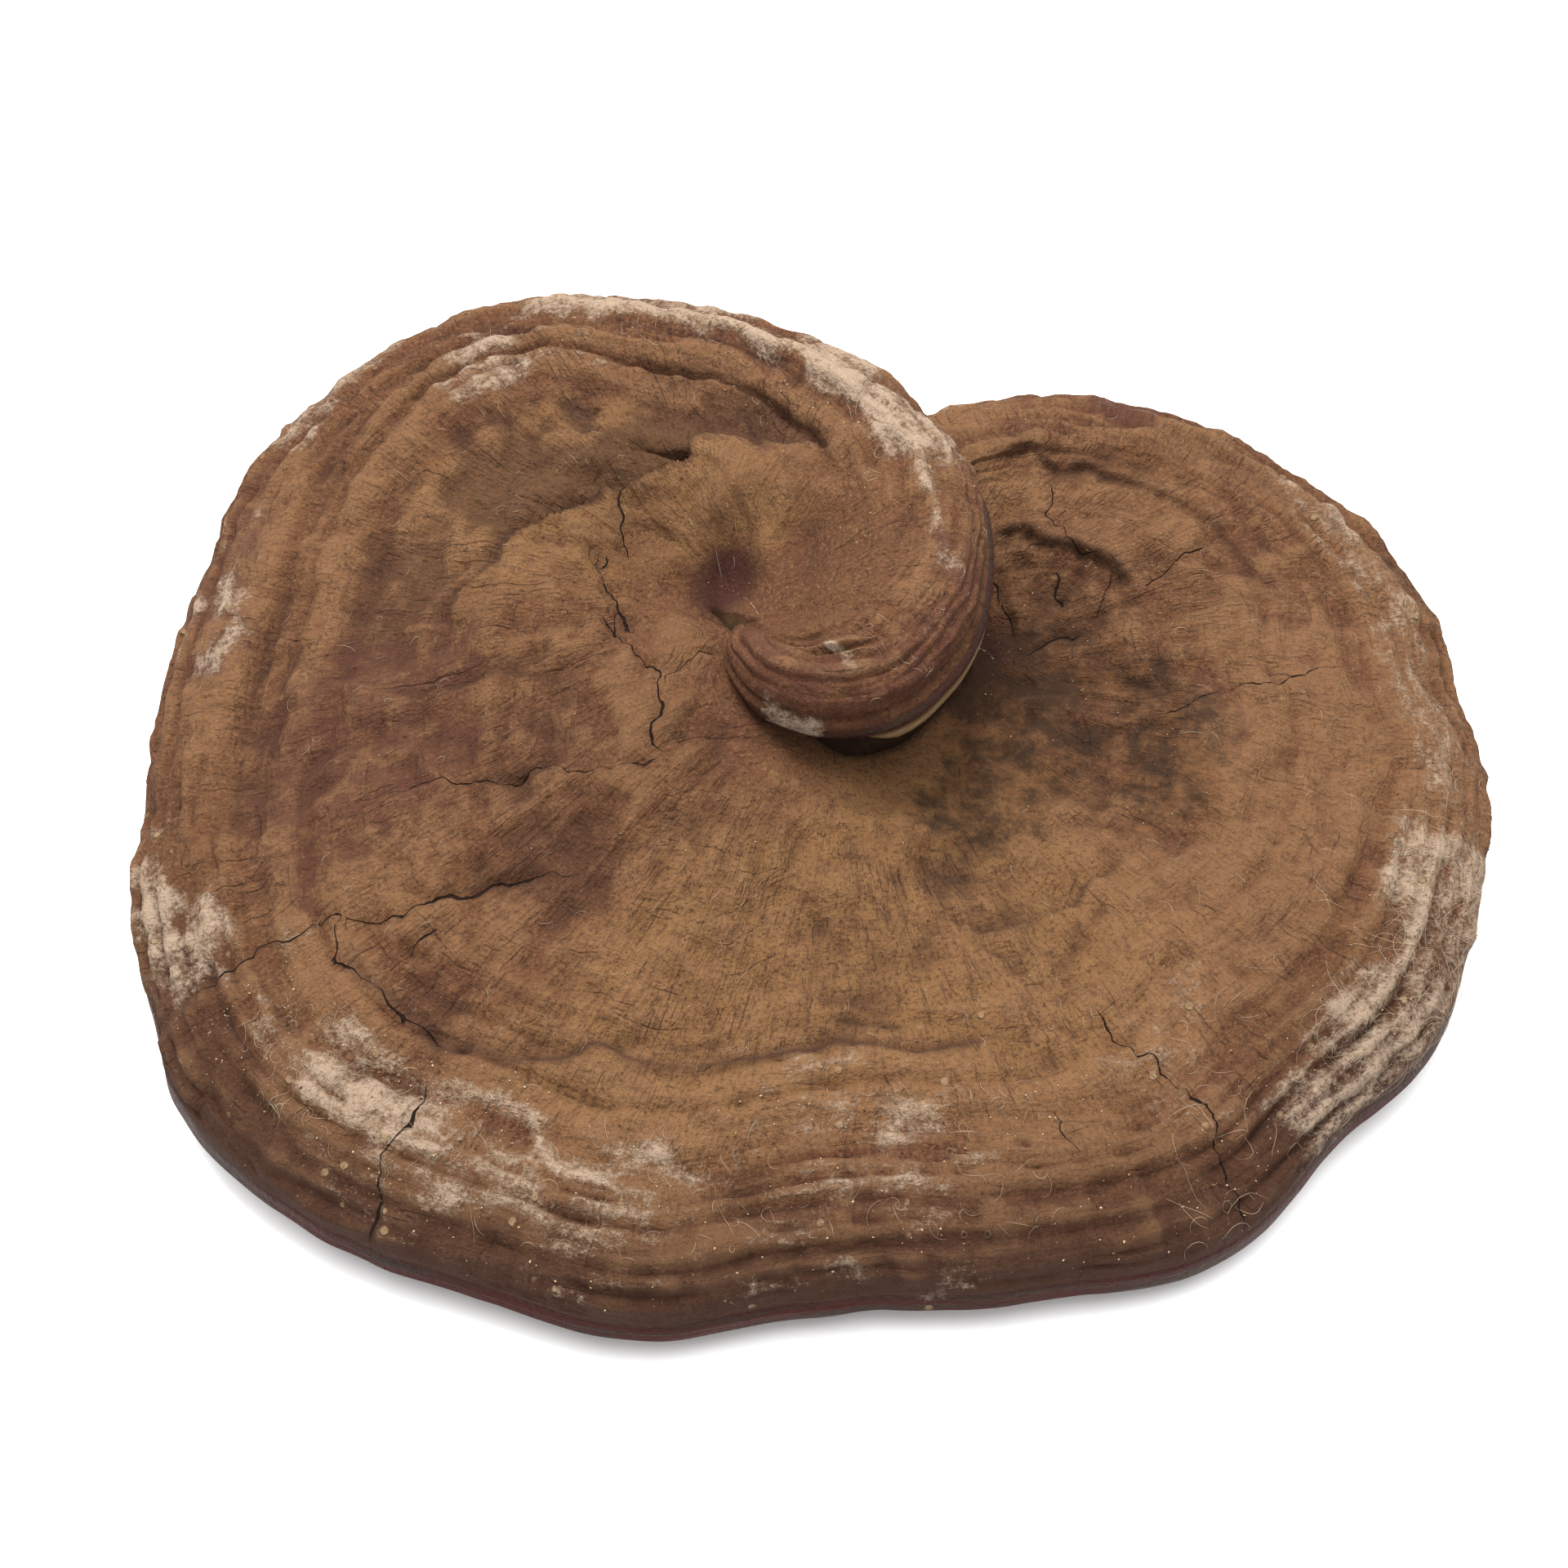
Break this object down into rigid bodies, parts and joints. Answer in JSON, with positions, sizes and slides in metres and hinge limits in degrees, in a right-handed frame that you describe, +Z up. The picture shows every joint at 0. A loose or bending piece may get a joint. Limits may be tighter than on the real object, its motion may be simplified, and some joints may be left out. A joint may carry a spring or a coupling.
{
  "type": "dried reishi mushroom",
  "caption": "Dried reishi bracket fungus: a kidney-shaped woody cap dusted brown, one side curled over the other, on a flat-cut stub of stem.",
  "frame": {"origin": "middle of the flat cut under the stub of stem, on the surface it rests on", "axes": "+Z up, -Y towards the front of the cap, +X towards the lower right side that the curl lies over"},
  "size_m": [0.304, 0.2599, 0.0741],
  "materials": {
    "reishi_flesh": "matte"
  },
  "bodies": {
    "root": {"mushroom": "reishi_flesh"}
  },
  "joints": []
}
